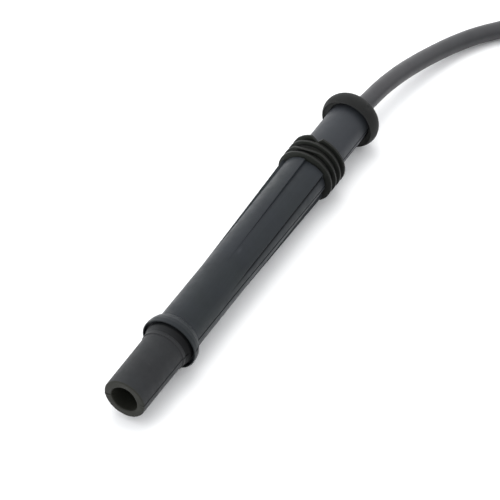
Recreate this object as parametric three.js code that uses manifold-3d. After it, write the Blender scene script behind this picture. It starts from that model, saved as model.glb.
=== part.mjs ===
// Spark plug wire: a long push-on boot (rubber tip, rigid extension tube with stepped lands, four-fin well
// seal, rounded rubber cap) on a 7 mm ignition cable, wound once and a bit, with a straight boot on its far end.
// Millimetres, +Z up. The boot lies along +Y on the plane z = 0, its open end towards -Y; the cable leaves
// towards +Y. The origin is under the middle of the boot.
import * as THREE from "three";
import { mergeVertices } from "three/addons/utils/BufferGeometryUtils.js";
import Module from "manifold-3d";

// ---- driving dimensions ("a" is the distance along the boot from its open end) ----
const BOOT_LENGTH = 173.0;
const CABLE_R = 3.5;

// rubber tip
const TIP_R_FRONT = 8.2;
const TIP_R_REAR = 8.32;
const TIP_EDGE = 0.6;
const TIP_BORE_R = 5.3;
const RING_A0 = 26.0; // low band round the tip
const RING_A1 = 27.4;
const RING_R = 8.72;
const FLARE_A = 29.9; // skirt that runs into the hollow front of the tube's collar
const FLARE_R = 9.1;
const FLARE_END = 31.9;
const SPIGOT_R = 6.9; // hidden rear part, pushed into the tube
const SPIGOT_END = 44.0;

// rigid extension tube
const COLLAR_A = 30.4;
const COLLAR_R = 10.9;
const COLLAR_LIP_R = 10.3; // inside of the collar's thin lip
const COLLAR_FLOOR = 32.2;
const BODY_R_FRONT = 8.75;
const BODY_R = 8.65;
const SEAT_A0 = 129.6; // reduced seat that carries the seal
const SEAT_A1 = 141.2;
const SEAT_R = 8.1;
const NECK_R = 8.27;
const TUBE_END = 168.3;
const SOCKET_R = 7.2; // front bore for the tip's spigot
const SOCKET_END = 46.3;
const TUBE_BORE_R = 4.2;
const REAR_BORE_R = 4.8;
const REAR_BORE_A = 144.6;
// raised lands towards the rear, the lower half a mirror image of the upper one; each has a sharp step on
// one side and runs out to the barrel before the next step
const LAND_START = 68.0;
const LAND_END = 129.3;
const LAND_RISE = 0.0207; // height gained per mm
const LAND_STEPS = [
  [24.5, 33], // degrees round +Y, from +X towards +Z, at the land's start and end
  [79.5, 86.5],
  [147, 150],
];

// four-fin seal
const SEAL_A0 = 129.9;
const FIN_A = [130.3, 133.75, 137.15, 140.5]; // middle of each fin's rim
const FIN_T = 0.8;
const FIN_R = 11.35;
const SEAL_CORE_R = 9.35;
const SEAL_BORE_R = 8.4;

// rounded cap on the tube's rear end
const CAP_MID = 166.1;
const CAP_R = 11.65;
const CAP_ROUND = 5.3;
const CAP_BORE_R = 8.57;
const CAP_FLOOR = 168.6;
const CAP_MOUTH = 164.8; // the cap's hollow front meets the neck here
const CABLE_HOLE_R = 3.8;

// free cable: middle of the coil's turns and its centre
const COIL_R = 38.5;
const COIL_X = 78.2;
const COIL_Y = 160.0;
const COIL_TURN_Z = [3.5, 10.5];
const TIE_ANGLE = 45; // the strap round both turns, degrees from +X towards +Y
const TIE_WIDTH = 4.8;
const TIE_T = 1.0;
const CABLE_IN_A = 148.0; // the cable starts here, in its crimped terminal

// far-end boot
const FAR_X = COIL_X + COIL_R;
const FAR_Y = 54.0; // its open end
const FAR_Z = 8.5;
const FAR_LENGTH = 54.0;

// The boot rests on its collar and its cap, so its axis rises a little to the rear.
const SLOPE = Math.asin((CAP_R - COLLAR_R) / (CAP_MID - COLLAR_A - 0.3));
const AXIS_Z0 = COLLAR_R / Math.cos(SLOPE) - (COLLAR_A + 0.3) * Math.tan(SLOPE); // height of the axis at a = 0

const wasm = await Module();
wasm.setup();

// ---- helpers ----
function toSolid(geometry) {
  const g = geometry.clone();
  for (const k of Object.keys(g.attributes))
    if (k !== "position") g.deleteAttribute(k);
  const m = mergeVertices(g, 1e-4);
  return new wasm.Manifold(
    new wasm.Mesh({
      numProp: 3,
      vertProperties: new Float32Array(m.attributes.position.array),
      triVerts: new Uint32Array(m.index.array),
    }),
  );
}
function toGeometry(solid) {
  const m = solid.getMesh();
  const g = new THREE.BufferGeometry();
  g.setAttribute("position", new THREE.BufferAttribute(new Float32Array(m.vertProperties), 3));
  g.setIndex(new THREE.BufferAttribute(new Uint32Array(m.triVerts), 1));
  g.computeVertexNormals();
  return g;
}
// A body of revolution round Y. The profile is a list of [radius, a], walked so that the solid is on its left.
function turned(profile, segments = 32) {
  const pts = profile.map(([r, a]) => new THREE.Vector2(r, a));
  if (profile[0][0] > 1e-9) pts.push(pts[0].clone());
  return new THREE.LatheGeometry(pts, segments);
}
function arc(cr, ca, r, fromDeg, toDeg, n) {
  const out = [];
  for (let i = 0; i <= n; i++) {
    const t = THREE.MathUtils.degToRad(fromDeg + ((toDeg - fromDeg) * i) / n);
    out.push([cr + r * Math.cos(t), ca + r * Math.sin(t)]);
  }
  return out;
}
function circleShape(r, n) {
  const s = new THREE.Shape();
  for (let i = 0; i < n; i++) {
    const t = (2 * Math.PI * (i + 0.5)) / n;
    if (i) s.lineTo(r * Math.cos(t), r * Math.sin(t));
    else s.moveTo(r * Math.cos(t), r * Math.sin(t));
  }
  s.closePath();
  return s;
}
function sweep(points, r, sides, steps) {
  const path = new THREE.CatmullRomCurve3(points, false, "centripetal");
  return new THREE.ExtrudeGeometry(circleShape(r, sides), { steps, extrudePath: path, bevelEnabled: false });
}

// ---- materials ----
const tipRubber = new THREE.MeshStandardMaterial({ color: 0x303234, roughness: 0.62, metalness: 0 });
const tubePlastic = new THREE.MeshStandardMaterial({ color: 0x33373a, roughness: 0.42, metalness: 0 });
const sealRubber = new THREE.MeshStandardMaterial({ color: 0x1b1c1d, roughness: 0.6, metalness: 0 });
const capRubber = new THREE.MeshStandardMaterial({ color: 0x26282a, roughness: 0.72, metalness: 0 });
const jacket = new THREE.MeshStandardMaterial({ color: 0x3b3d40, roughness: 0.5, metalness: 0 });
const tieRubber = new THREE.MeshStandardMaterial({ color: 0x202122, roughness: 0.6, metalness: 0 });
const brass = new THREE.MeshStandardMaterial({ color: 0xb08d4a, roughness: 0.35, metalness: 1 });
const steel = new THREE.MeshStandardMaterial({ color: 0xa9adb0, roughness: 0.3, metalness: 1 });
const ceramic = new THREE.MeshStandardMaterial({ color: 0xd8d2c4, roughness: 0.7, metalness: 0 });

const root = new THREE.Group();

// Everything coaxial with the boot sits in this group: local +Y is the boot's axis, local y = a.
const boot = new THREE.Group();
boot.rotation.x = SLOPE;
boot.position.set(0, -BOOT_LENGTH / 2, AXIS_Z0);
root.add(boot);

function put(group, name, geometry, material) {
  const mesh = new THREE.Mesh(geometry, material);
  mesh.name = name;
  group.add(mesh);
  return mesh;
}

// ---- rubber tip: sleeve, low band, skirt into the collar, hidden spigot, through bore ----
put(
  boot,
  "plug_boot_tip",
  turned([
    [TIP_BORE_R + 0.45, 0],
    [TIP_R_FRONT - TIP_EDGE, 0],
    ...arc(TIP_R_FRONT - TIP_EDGE, TIP_EDGE, TIP_EDGE, -60, 0, 2),
    [TIP_R_REAR, RING_A0],
    [RING_R, RING_A0 + 0.25],
    [RING_R, RING_A1],
    [RING_R - 0.22, RING_A1 + 0.3],
    [FLARE_R, FLARE_A],
    [FLARE_R, FLARE_END],
    [SPIGOT_R, FLARE_END],
    [SPIGOT_R, SPIGOT_END],
    [TIP_BORE_R, SPIGOT_END],
    [TIP_BORE_R, 0.45],
  ]),
  tipRubber,
);

// ---- extension tube: hollow-fronted collar, barrel, seal seat, neck, stepped bore, rising lands ----
{
  const barrel = toSolid(
    turned(
      [
        [SOCKET_R, COLLAR_FLOOR],
        [COLLAR_LIP_R, COLLAR_FLOOR],
        [COLLAR_LIP_R, COLLAR_A + 0.3],
        [COLLAR_LIP_R + 0.25, COLLAR_A],
        [COLLAR_R - 0.2, COLLAR_A],
        [COLLAR_R, COLLAR_A + 0.3],
        [COLLAR_R, 32.2],
        [10.62, 33.5],
        [10.0, 34.7],
        [9.15, 35.7],
        [BODY_R_FRONT + 0.18, 36.1],
        [BODY_R_FRONT, 36.3],
        [BODY_R, 62],
        [BODY_R, SEAT_A0],
        [SEAT_R, SEAT_A0],
        [SEAT_R, SEAT_A1],
        [NECK_R, SEAT_A1],
        [NECK_R, TUBE_END],
        [REAR_BORE_R, TUBE_END],
        [REAR_BORE_R, REAR_BORE_A],
        [TUBE_BORE_R, REAR_BORE_A],
        [TUBE_BORE_R, SOCKET_END],
        [SOCKET_R, SOCKET_END],
      ],
      32,
    ),
  );
  // outline of the lands at a distance a: [degrees, radius], all the way round
  const outline = (a, inside) => {
    const t = (a - LAND_START) / (LAND_END - LAND_START);
    const h = LAND_RISE * (a - LAND_START);
    const steps = LAND_STEPS.map(([s0, s1]) => s0 + (s1 - s0) * t);
    const upper = [[0, h * 0.3]];
    const run = (from, to, h0, h1, n) => {
      for (let i = 0; i <= n; i++) upper.push([from + ((to - from) * i) / n, h0 + ((h1 - h0) * i) / n]);
    };
    run(8, steps[0] - 0.4, h * 0.25, 0, 2);
    run(steps[0], steps[1] - 0.4, h, 0, 5);
    run(steps[1], steps[2] - 0.4, h, 0.33 * h, 6);
    run(steps[2], 180, 1.3 * h, 0.8 * h, 3);
    const lower = upper.slice(1, -1).reverse().map(([d, v]) => [360 - d, v]);
    return [...upper, ...lower].map(([d, v]) => [d, inside ? BODY_R - 0.6 : BODY_R + 0.03 + v]);
  };
  const sections = [
    [LAND_START + 0.6, outline(LAND_START + 0.6, true)],
    [LAND_START + 1.0, outline(LAND_START + 1.0, false)],
    [LAND_END - 0.3, outline(LAND_END - 0.3, false)],
    [LAND_END, outline(LAND_END, false).map(([d, r]) => [d, Math.max(r - 0.3, BODY_R - 0.3)])],
  ];
  const pos = [];
  for (const [a, ring] of sections)
    for (const [d, r] of ring) {
      const t = THREE.MathUtils.degToRad(d);
      pos.push(r * Math.cos(t), a, r * Math.sin(t));
    }
  const n = sections[0][1].length;
  const first = pos.length / 3;
  pos.push(0, sections[0][0], 0, 0, LAND_END, 0);
  const index = [];
  for (let k = 0; k < sections.length - 1; k++)
    for (let j = 0; j < n; j++) {
      const j1 = (j + 1) % n;
      const [p, q, r, s] = [k * n + j, k * n + j1, (k + 1) * n + j1, (k + 1) * n + j];
      index.push(p, s, r, p, r, q);
    }
  for (let j = 0; j < n; j++) {
    const j1 = (j + 1) % n;
    index.push(first, j, j1);
    index.push(first + 1, (sections.length - 1) * n + j1, (sections.length - 1) * n + j);
  }
  const loft = new THREE.BufferGeometry();
  loft.setAttribute("position", new THREE.BufferAttribute(new Float32Array(pos), 3));
  loft.setIndex(index);
  const bore = toSolid(turned([[0, 60], [7.6, 60], [7.6, 135], [0, 135]], 32));
  const lands = toSolid(loft).subtract(bore);
  const whole = barrel.add(lands);
  put(boot, "extension_tube", toGeometry(whole), tubePlastic);
}

// ---- four-fin well seal ----
{
  const out = [[SEAL_BORE_R, SEAL_A0]];
  FIN_A.forEach((a, i) => {
    out.push([FIN_R, a - FIN_T / 2], [FIN_R, a + FIN_T / 2]);
    if (i < FIN_A.length - 1)
      out.push([SEAL_CORE_R, a + FIN_T / 2 + 0.35], [SEAL_CORE_R, FIN_A[i + 1] - FIN_T / 2 - 0.35]);
  });
  out.push([SEAL_BORE_R, FIN_A[3] + FIN_T / 2]);
  put(boot, "well_seal", turned(out), sealRubber);
}

// ---- rounded cap: pressed over the neck, with the cable's outlet ----
put(
  boot,
  "cable_end_cap",
  turned([
    [CAP_BORE_R, CAP_MOUTH],
    [9.3, 164.1],
    [10.0, 163.4],
    ...arc(CAP_R - CAP_ROUND, CAP_MID, CAP_ROUND, -35, 80, 8),
    [5.95, 171.6],
    [5.55, 172.8],
    [5.35, 173.0],
    [CABLE_HOLE_R, 173.0],
    [CABLE_HOLE_R, CAP_FLOOR],
    [CAP_BORE_R, CAP_FLOOR],
  ]),
  capRubber,
);

// ---- inside the boot, front to rear ----
// Terminal that snaps over the plug's top: slotted socket, clamping flange, boss for the spring.
{
  let t = toSolid(
    turned(
      [
        [3.25, 31.0],
        [4.6, 31.0],
        [4.6, 33.1],
        [4.0, 33.1],
        [4.0, 34.3],
        [4.6, 34.3],
        [4.6, 44.3],
        [6.6, 44.3],
        [6.6, 46.0],
        [2.6, 46.0],
        [2.6, 50.0],
        [0, 50.0],
        [0, 43.8],
        [3.25, 43.8],
      ],
      24,
    ),
  );
  put(boot, "plug_terminal", toGeometry(t), brass);
}
// Open spring ring in the terminal's groove.
{
  const s = new THREE.Shape();
  const gap = THREE.MathUtils.degToRad(28);
  s.absarc(0, 0, 4.92, gap, 2 * Math.PI - gap, false);
  s.absarc(0, 0, 4.35, 2 * Math.PI - gap, gap, true);
  s.closePath();
  const g = new THREE.ExtrudeGeometry(s, { depth: 0.6, bevelEnabled: false, steps: 1, curveSegments: 20 });
  g.rotateX(Math.PI / 2); // depth now runs towards -Y
  g.translate(0, 34.0, 0);
  put(boot, "terminal_spring_ring", g, steel);
}
// Contact spring between the terminal and the resistor.
{
  const pts = [];
  const turns = 5;
  const n = turns * 12;
  for (let i = 0; i <= n; i++) {
    const t = i / n;
    const ang = 2 * Math.PI * turns * t;
    pts.push(new THREE.Vector3(2.9 * Math.cos(ang), 50.8 + 6.4 * t, 2.9 * Math.sin(ang)));
  }
  put(boot, "contact_spring", sweep(pts, 0.4, 6, n), steel);
}
// Suppression resistor: ceramic rod with a pressed cap on each end.
put(
  boot,
  "resistor_cap_front",
  turned([[0, 58.0], [3.8, 58.0], [3.8, 64.5], [3.35, 64.5], [3.35, 58.8], [0, 58.8]], 24),
  brass,
);
put(boot, "suppression_resistor", turned([[0, 59.1], [3.05, 59.1], [3.05, 105.0], [0, 105.0]], 24), ceramic);
put(
  boot,
  "resistor_cap_rear",
  turned([[0, 105.3], [3.35, 105.3], [3.35, 99.6], [3.8, 99.6], [3.8, 106.1], [0, 106.1]], 24),
  brass,
);
// Rod that carries the current to the cable's terminal.
put(
  boot,
  "connecting_rod",
  turned([[0, 106.4], [3.3, 106.4], [3.3, 107.9], [1.75, 108.4], [1.75, 140.0], [3.3, 140.5], [3.3, 142.0], [0, 142.0]], 24),
  steel,
);
// Terminal crimped on the cable's inner end.
put(
  boot,
  "cable_terminal",
  turned(
    [[0, 142.3], [3.3, 142.3], [3.3, 144.0], [1.8, 144.6], [1.8, 145.9], [4.35, 146.3], [4.35, 158.0], [3.8, 158.0], [3.8, 147.3], [0, 147.3]],
    24,
  ),
  brass,
);

// ---- the cable's free route ----
const axisPoint = (a) =>
  new THREE.Vector3(0, -BOOT_LENGTH / 2 + a * Math.cos(SLOPE), AXIS_Z0 + a * Math.sin(SLOPE));
// out of the cap, down under its own weight, then along the surface, bending to the right
const LEAD = [
  axisPoint(CABLE_IN_A),
  axisPoint(156),
  axisPoint(165),
  axisPoint(173),
  new THREE.Vector3(0.6, 92.6, 11.35),
  new THREE.Vector3(1.1, 100.5, 10.9),
  new THREE.Vector3(1.9, 108.5, 10.1),
  new THREE.Vector3(3.0, 116.5, 9.0),
  new THREE.Vector3(4.5, 124.5, 7.75),
  new THREE.Vector3(6.4, 132.5, 6.45),
  new THREE.Vector3(8.8, 140.5, 5.3),
  new THREE.Vector3(12.1, 148.8, 4.4),
  new THREE.Vector3(16.7, 157.2, 3.8),
  new THREE.Vector3(22.3, 164.4, 3.56),
  new THREE.Vector3(29.0, 172.3, 3.55),
  new THREE.Vector3(36.5, 179.3, 3.55),
];
put(root, "ignition_cable", sweep(LEAD, CABLE_R, 10, 30), jacket);

// the wound length: its outer shape, one turn on the surface and the next on top of it, drawn in where
// the strap goes round it
{
  const h = COIL_TURN_Z[1] + CABLE_R;
  const i = COIL_R - CABLE_R;
  const o = COIL_R + CABLE_R;
  const g = turned([[i, 1.2], [i + 1.2, 0], [o - 1.2, 0], [o, 1.2], [o, h - 1.2], [o - 1.2, h], [i + 1.2, h], [i, h - 1.2]], 40);
  g.rotateX(Math.PI / 2);
  // boxes laid out along the ring at the strap: x = outwards, y = along the ring, z = up
  const boxAt = (x0, x1, w, z0, z1) =>
    toSolid(new THREE.BoxGeometry(x1 - x0, w, z1 - z0).translate((x0 + x1) / 2, 0, (z0 + z1) / 2).rotateZ(THREE.MathUtils.degToRad(TIE_ANGLE)));
  const gap = 0.3;
  const notch = boxAt(i - 3, o + 3, TIE_WIDTH + 2 * gap, -3, h + 3).subtract(
    boxAt(i + TIE_T + gap, o - TIE_T - gap, TIE_WIDTH + 4, TIE_T + gap, h - TIE_T - gap),
  );
  const coil = toGeometry(toSolid(g).subtract(notch));
  coil.translate(COIL_X, COIL_Y, 0);
  put(root, "cable_coil", coil, jacket);
  const strap = toGeometry(boxAt(i, o, TIE_WIDTH, 0, h).subtract(boxAt(i + TIE_T, o - TIE_T, TIE_WIDTH + 4, TIE_T, h - TIE_T)));
  strap.translate(COIL_X, COIL_Y, 0);
  put(root, "coil_tie", strap, tieRubber);
}

// off the top of the coil and into the far-end boot
const TAIL = [
  new THREE.Vector3(FAR_X, 135.8, 9.1),
  new THREE.Vector3(FAR_X, 127, 8.3),
  new THREE.Vector3(FAR_X, 118, 8.05),
  new THREE.Vector3(FAR_X, 110, 8.3),
  new THREE.Vector3(FAR_X, 104, FAR_Z),
  new THREE.Vector3(FAR_X, 96, FAR_Z),
  new THREE.Vector3(FAR_X, 86, FAR_Z),
  new THREE.Vector3(FAR_X, FAR_Y + 25.8, FAR_Z),
];
put(root, "cable_tail", sweep(TAIL, CABLE_R, 10, 12), jacket);

// ---- far-end boot and its terminal ----
const far = new THREE.Group();
far.position.set(FAR_X, FAR_Y, FAR_Z);
root.add(far);
put(
  far,
  "coil_boot",
  turned(
    [
      [5.75, 0],
      [8.1, 0],
      [8.5, 0.4],
      [8.5, 24.0],
      [7.2, 26.0],
      [7.2, 38.0],
      [6.4, 40.0],
      [5.0, 53.6],
      [4.7, FAR_LENGTH],
      [3.8, FAR_LENGTH],
      [3.8, 38.0],
      [4.75, 38.0],
      [4.75, 26.0],
      [5.3, 26.0],
      [5.3, 0.45],
    ],
    32,
  ),
  capRubber,
);
put(
  far,
  "coil_terminal",
  turned([[3.1, 9.0], [3.9, 9.0], [3.9, 24.0], [4.35, 24.4], [4.35, 36.0], [3.8, 36.0], [3.8, 25.5], [0, 25.5], [0, 23.0], [3.1, 23.0]], 24),
  brass,
);

export default root;
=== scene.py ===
import math

import bpy
import bmesh
import numpy as np
from mathutils import Matrix, Vector


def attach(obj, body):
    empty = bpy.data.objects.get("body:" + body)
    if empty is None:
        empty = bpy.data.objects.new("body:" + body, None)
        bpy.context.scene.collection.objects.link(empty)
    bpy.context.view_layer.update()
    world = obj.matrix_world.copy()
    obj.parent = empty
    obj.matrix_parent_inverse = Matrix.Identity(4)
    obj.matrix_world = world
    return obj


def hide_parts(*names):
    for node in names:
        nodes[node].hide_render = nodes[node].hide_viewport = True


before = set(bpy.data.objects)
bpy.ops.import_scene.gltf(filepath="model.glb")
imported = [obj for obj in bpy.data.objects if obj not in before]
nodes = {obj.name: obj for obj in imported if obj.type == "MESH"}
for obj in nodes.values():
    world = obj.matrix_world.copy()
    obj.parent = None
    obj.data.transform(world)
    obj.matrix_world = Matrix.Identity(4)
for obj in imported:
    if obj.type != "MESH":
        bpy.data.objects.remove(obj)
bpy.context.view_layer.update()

MM = 0.001
RNG = np.random.default_rng(7)

# ---------------------------------------------------------------- dimensions, as in the part's source (mm)
BOOT_LENGTH = 173.0
CABLE_R = 3.5
TIP_R_FRONT, TIP_R_REAR, TIP_EDGE, TIP_BORE_R = 8.2, 8.32, 0.6, 5.3
RING_A0, RING_A1, RING_R = 26.0, 27.4, 8.72
FLARE_A, FLARE_R, FLARE_END = 29.9, 9.3, 31.9
SPIGOT_R, SPIGOT_END = 6.9, 44.0
COLLAR_A, COLLAR_R, COLLAR_LIP_R, COLLAR_FLOOR = 30.4, 10.9, 10.3, 32.2
BODY_R_FRONT, BODY_R = 8.75, 8.65
SEAT_A0, SEAT_A1, SEAT_R = 129.6, 141.2, 8.1
NECK_R, TUBE_END = 8.27, 168.3
SOCKET_R, SOCKET_END, TUBE_BORE_R, REAR_BORE_R, REAR_BORE_A = 7.2, 46.3, 4.2, 4.8, 144.6
# lands on the barrel: [angle at their start, angle at their end] of each sharp step on the upper half
LAND_START, LAND_END, LAND_RISE = 68.0, 129.3, 0.0207
LAND_STEPS = [(24.5, 33.0), (79.5, 86.5), (147.0, 150.0)]
SEAL_A0, FIN_A, FIN_T, FIN_R, SEAL_CORE_R, SEAL_BORE_R = 129.9, [130.3, 133.75, 137.15, 140.5], 0.8, 11.35, 9.35, 8.4
CAP_MID, CAP_R, CAP_ROUND, CAP_BORE_R, CAP_FLOOR, CAP_MOUTH, CABLE_HOLE_R = 166.1, 11.65, 5.3, 8.57, 168.6, 164.8, 3.8
COIL_R, COIL_X, COIL_Y = 38.5, 78.2, 160.0
TIE_ANGLE, TIE_WIDTH, TIE_T = 45.0, 4.8, 1.0
FAR_X, FAR_Y, FAR_Z, FAR_LENGTH = COIL_X + COIL_R, 54.0, 8.5, 54.0
CABLE_IN_A = 148.0

SLOPE = math.asin((CAP_R - COLLAR_R) / (CAP_MID - COLLAR_A - 0.3))
AXIS_Z0 = COLLAR_R / math.cos(SLOPE) - (COLLAR_A + 0.3) * math.tan(SLOPE)
# boot frame (mm) -> row frame (m)
BOOT = (
    Matrix.Scale(MM, 4)
    @ Matrix.Translation((0, -BOOT_LENGTH / 2, AXIS_Z0))
    @ Matrix.Rotation(SLOPE, 4, "X")
)
FAR = Matrix.Scale(MM, 4) @ Matrix.Translation((FAR_X, FAR_Y, FAR_Z))


def axis_point(a):
    return (0.0, -BOOT_LENGTH / 2 + a * math.cos(SLOPE), AXIS_Z0 + a * math.sin(SLOPE))


# ---------------------------------------------------------------- camera
cam_data = bpy.data.cameras.new("camera")
cam = bpy.data.objects.new("camera", cam_data)
bpy.context.scene.collection.objects.link(cam)
bpy.context.scene.camera = cam
cam_data.sensor_width = 36.0
cam_data.lens = 216.0
cam_data.clip_start, cam_data.clip_end = 0.05, 50.0
level = (
    Matrix.Translation((0.38663, -0.67530, 0.78700))
    @ Matrix.Rotation(math.radians(29.717), 4, "Z")
    @ Matrix.Rotation(math.radians(90.0 - 44.953), 4, "X")
)
# the view was found for a level axis 11.5 mm up; it turns with the boot's small slope
tilt = (
    Matrix.Translation((0, -BOOT_LENGTH / 2 * MM, AXIS_Z0 * MM))
    @ Matrix.Rotation(SLOPE, 4, "X")
    @ Matrix.Translation((0, BOOT_LENGTH / 2 * MM, -11.5 * MM))
)
cam.matrix_world = tilt @ level

# ---------------------------------------------------------------- the cable's route (mm)
LEAD = [
    axis_point(CABLE_IN_A), axis_point(156), axis_point(165), axis_point(173),
    (0.6, 92.6, 11.35), (1.1, 100.5, 10.9), (1.9, 108.5, 10.1), (3.0, 116.5, 9.0),
    (4.5, 124.5, 7.75), (6.4, 132.5, 6.45), (8.8, 140.5, 5.3), (12.1, 148.8, 4.4),
    (16.7, 157.2, 3.8), (22.3, 164.4, 3.56), (29.0, 172.3, 3.55), (36.5, 179.3, 3.55),
]
TO_COIL = [
    (42.57, 184.10, 3.55), (48.89, 188.54, 3.55), (55.55, 192.45, 3.55),
    (62.60, 195.59, 3.55), (70.02, 197.71, 3.55), (77.69, 198.54, 3.55),
]
TAIL = [
    (FAR_X, 135.8, 9.1), (FAR_X, 127, 8.3), (FAR_X, 118, 8.05), (FAR_X, 110, 8.3),
    (FAR_X, 104, FAR_Z), (FAR_X, 96, FAR_Z), (FAR_X, 86, FAR_Z), (FAR_X, FAR_Y + 25.8, FAR_Z),
]


def smooth(x):
    x = min(1.0, max(0.0, x))
    return x * x * x * (x * (6 * x - 15) + 10)


def coil_points():
    out = []
    first, sweep = 90.7, 450.7
    for i in range(1, 31):
        s = sweep * i / 30
        phi = math.radians(first - s)
        z = 3.5 + 7.0 * smooth((s - 210) / 115)
        # both turns rise a little over the strap round them
        for centre in (first - TIE_ANGLE, first - TIE_ANGLE + 360):
            z += 1.0 * math.exp(-(((s - centre) / 16.0) ** 2))
        out.append((COIL_X + COIL_R * math.cos(phi), COIL_Y + COIL_R * math.sin(phi), z))
    return out


ROUTE = LEAD + TO_COIL + coil_points() + TAIL


def catmull(points, step):
    """Centripetal Catmull-Rom through the points, then resampled evenly."""
    p = np.array(points, float)
    p = np.vstack([2 * p[0] - p[1], p, 2 * p[-1] - p[-2]])
    out = []
    for i in range(1, len(p) - 2):
        p0, p1, p2, p3 = p[i - 1 : i + 3]
        t0 = 0.0
        t1 = t0 + np.linalg.norm(p1 - p0) ** 0.5
        t2 = t1 + np.linalg.norm(p2 - p1) ** 0.5
        t3 = t2 + np.linalg.norm(p3 - p2) ** 0.5
        for t in np.linspace(t1, t2, 24, endpoint=False):
            a1 = (t1 - t) / (t1 - t0) * p0 + (t - t0) / (t1 - t0) * p1
            a2 = (t2 - t) / (t2 - t1) * p1 + (t - t1) / (t2 - t1) * p2
            a3 = (t3 - t) / (t3 - t2) * p2 + (t - t2) / (t3 - t2) * p3
            b1 = (t2 - t) / (t2 - t0) * a1 + (t - t0) / (t2 - t0) * a2
            b2 = (t3 - t) / (t3 - t1) * a2 + (t - t1) / (t3 - t1) * a3
            out.append((t2 - t) / (t2 - t1) * b1 + (t - t1) / (t2 - t1) * b2)
    out.append(p[-2])
    out = np.array(out)
    s = np.r_[0, np.cumsum(np.linalg.norm(np.diff(out, axis=0), axis=1))]
    n = int(round(s[-1] / step)) + 1
    q = np.linspace(0, s[-1], n)
    return np.c_[[np.interp(q, s, out[:, k]) for k in range(3)]].T, s[-1]


# ---------------------------------------------------------------- mesh helpers
def finish_mesh(name, verts, faces, matrix, attrs=None, uvs=None, sharp=40.0):
    """verts in mm in the given frame; the object sits at the origin with its mesh in the row frame."""
    v = np.array(verts, float)
    m = np.array(matrix)
    v = v @ m[:3, :3].T + m[:3, 3]
    mesh = bpy.data.meshes.new(name)
    mesh.from_pydata([tuple(x) for x in v], [], faces)
    if attrs:
        for key, values in attrs.items():
            a = mesh.attributes.new(key, "FLOAT", "POINT")
            a.data.foreach_set("value", np.asarray(values, np.float32))
    if uvs is not None:
        layer = mesh.uv_layers.new(name="along")
        layer.data.foreach_set("uv", np.asarray(uvs, np.float32).ravel())
    bm = bmesh.new()
    bm.from_mesh(mesh)
    bmesh.ops.recalc_face_normals(bm, faces=bm.faces)
    bm.to_mesh(mesh)
    bm.free()
    for p in mesh.polygons:
        p.use_smooth = True
    mesh.set_sharp_from_angle(angle=math.radians(sharp))
    o = bpy.data.objects.new(name, mesh)
    bpy.context.scene.collection.objects.link(o)
    return o


def rounded(points, n=5, longest=1.6):
    """A closed profile of (r, a, fillet) corners -> dense list of (r, a, edge), edge 1 on rounded outer corners."""
    k = len(points)
    out = []
    for i in range(k):
        r, a, f = points[i]
        p = np.array([r, a], float)
        q0 = np.array(points[i - 1][:2], float)
        q1 = np.array(points[(i + 1) % k][:2], float)
        u0, u1 = q0 - p, q1 - p
        l0, l1 = np.linalg.norm(u0), np.linalg.norm(u1)
        u0, u1 = u0 / l0, u1 / l1
        cosang = float(np.clip(u0 @ u1, -1, 1))
        half = math.acos(cosang) / 2
        if f <= 0 or half > math.radians(88):
            out.append((p[0], p[1], 0.0))
            continue
        cut = min(f / math.tan(half), 0.48 * l0, 0.48 * l1)
        rad = cut * math.tan(half)
        bis = (u0 + u1) / np.linalg.norm(u0 + u1)
        centre = p + bis * rad / math.sin(half)
        s0, s1 = p + u0 * cut, p + u1 * cut
        a0 = math.atan2(*(s0 - centre)[::-1])
        a1 = math.atan2(*(s1 - centre)[::-1])
        da = (a1 - a0 + math.pi) % (2 * math.pi) - math.pi
        cross = u0[0] * u1[1] - u0[1] * u1[0]
        convex = 1.0 if cross < 0 else 0.0  # solid on the left of the walk
        for j in range(n + 1):
            t = a0 + da * j / n
            e = convex * math.sin(math.pi * (j + 0.5) / (n + 1))
            out.append((centre[0] + rad * math.cos(t), centre[1] + rad * math.sin(t), e))
    dense = []
    for i in range(len(out)):
        r0, a0, e0 = out[i]
        r1, a1, e1 = out[(i + 1) % len(out)]
        dense.append((r0, a0, e0))
        length = math.hypot(r1 - r0, a1 - a0)
        m = int(math.ceil(length / longest))
        if length > 0.6:  # support rings near both ends keep the long faces flat
            ts = [0.12 / length] + [j / m for j in range(1, m)] + [1 - 0.12 / length]
            for t in ts:
                dense.append((r0 + (r1 - r0) * t, a0 + (a1 - a0) * t, 0.0))
    return dense


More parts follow.
